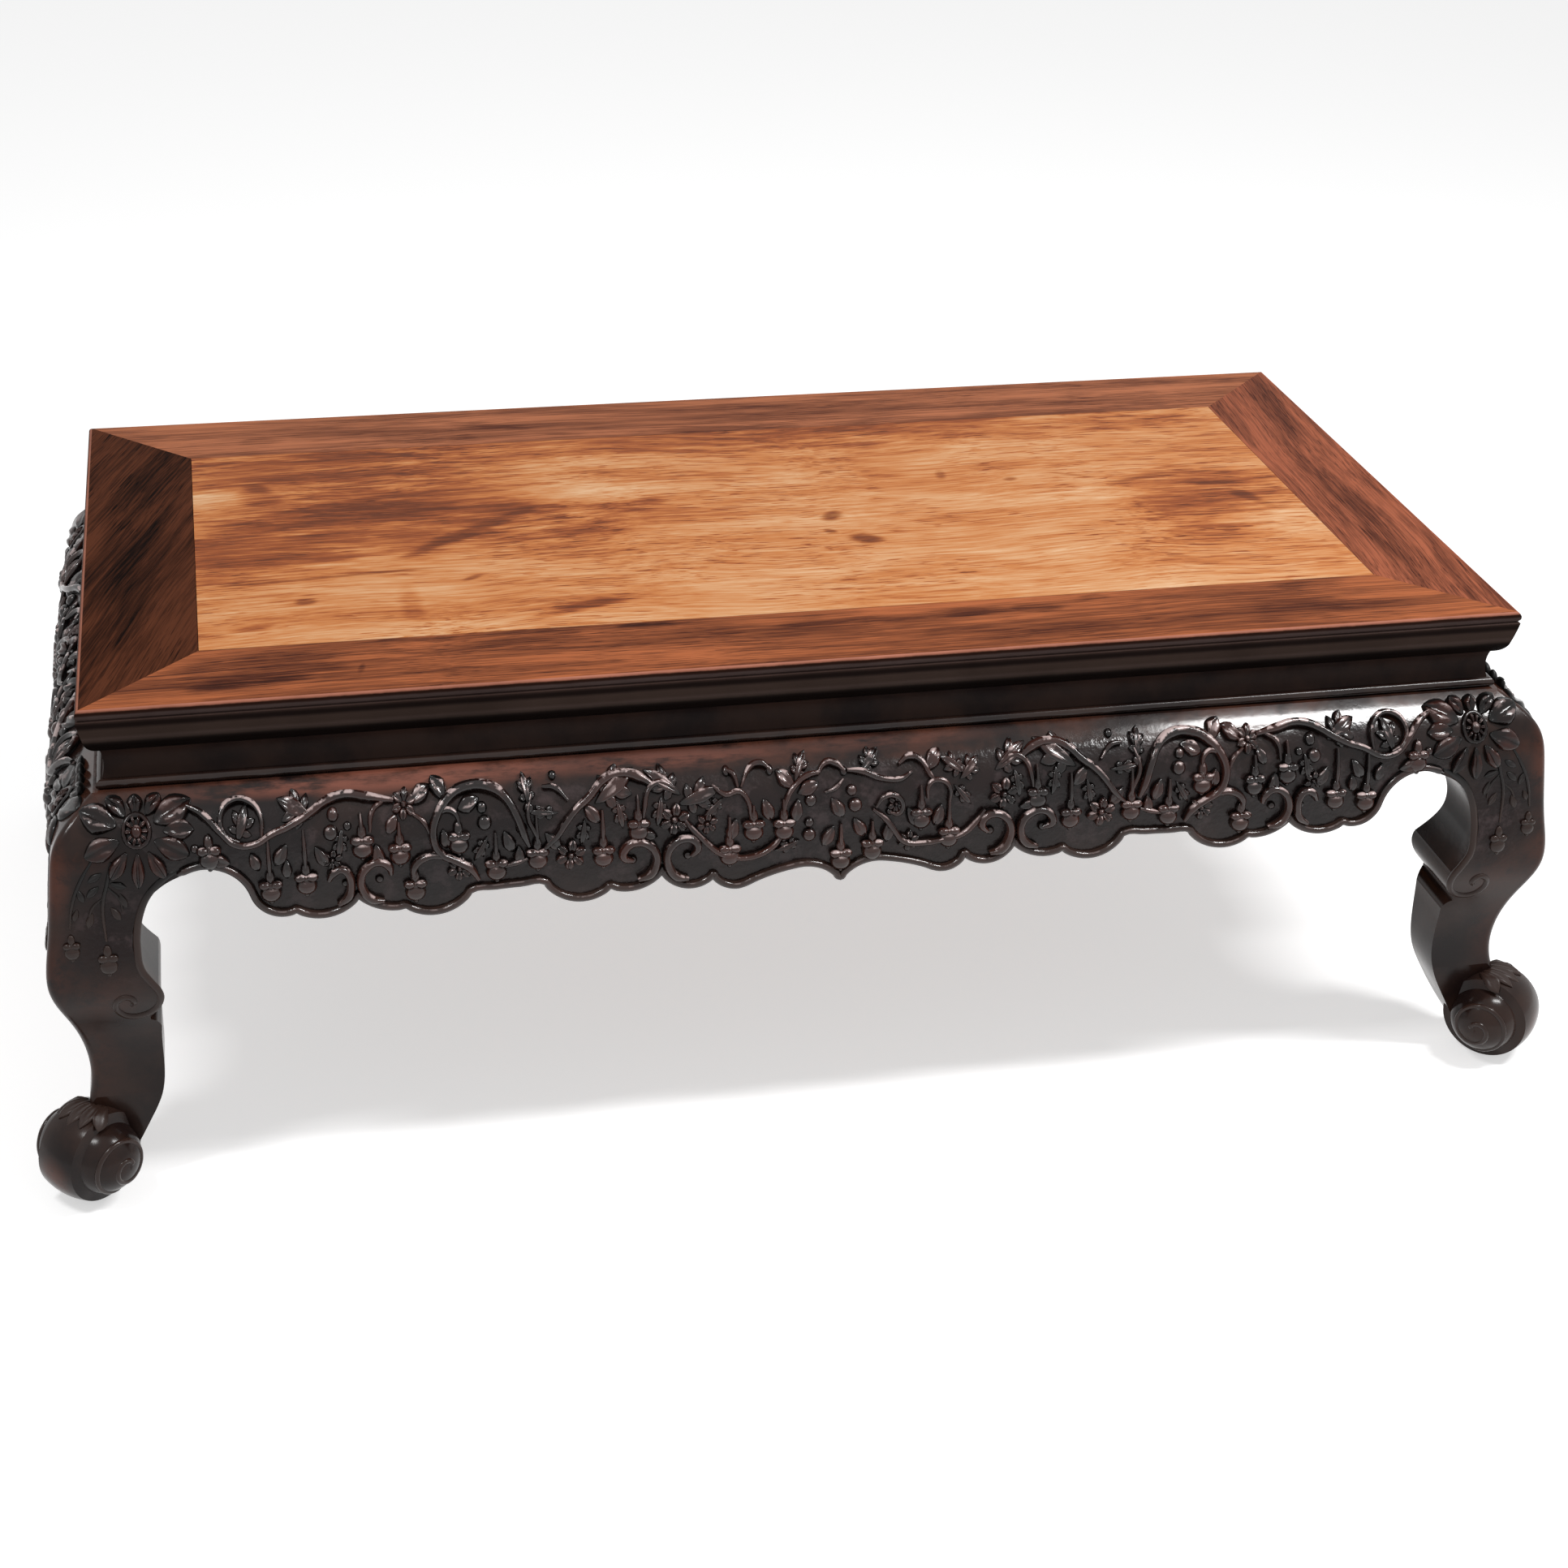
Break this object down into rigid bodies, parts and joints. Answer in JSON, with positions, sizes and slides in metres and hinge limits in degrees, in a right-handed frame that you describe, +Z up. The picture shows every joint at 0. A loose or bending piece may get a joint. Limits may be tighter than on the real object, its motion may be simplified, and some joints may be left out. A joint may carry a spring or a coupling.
{
  "type": "kang table",
  "caption": "Low kang table: mitred frame and floating panel top, narrow waist, scalloped bulging aprons and cabriole legs on outward scroll feet.",
  "frame": {"origin": "on the floor, under the middle of the table", "axes": "+X along the length of the table, -Y towards the front, +Z up from the floor"},
  "size_m": [1, 0.558, 0.323],
  "materials": {
    "red_frame_wood": "waxed and polished",
    "panel_wood": "waxed and polished",
    "dark_carved_wood": "dark lacquer, polished by use",
    "plain_underside_wood": "bare, planed"
  },
  "bodies": {
    "root": {"front_top_rail": "red_frame_wood", "back_top_rail": "red_frame_wood", "left_top_rail": "red_frame_wood", "right_top_rail": "red_frame_wood", "top_panel": "panel_wood", "batten_1": "plain_underside_wood", "batten_2": "plain_underside_wood", "batten_3": "plain_underside_wood", "front_waist_board": "dark_carved_wood", "back_waist_board": "dark_carved_wood", "left_waist_board": "dark_carved_wood", "right_waist_board": "dark_carved_wood", "front_bead_strip": "dark_carved_wood", "back_bead_strip": "dark_carved_wood", "left_bead_strip": "dark_carved_wood", "right_bead_strip": "dark_carved_wood", "front_apron": "dark_carved_wood", "back_apron": "dark_carved_wood", "left_apron": "dark_carved_wood", "right_apron": "dark_carved_wood", "front_right_leg": "dark_carved_wood", "front_left_leg": "dark_carved_wood", "back_right_leg": "dark_carved_wood", "back_left_leg": "dark_carved_wood"}
  },
  "joints": []
}
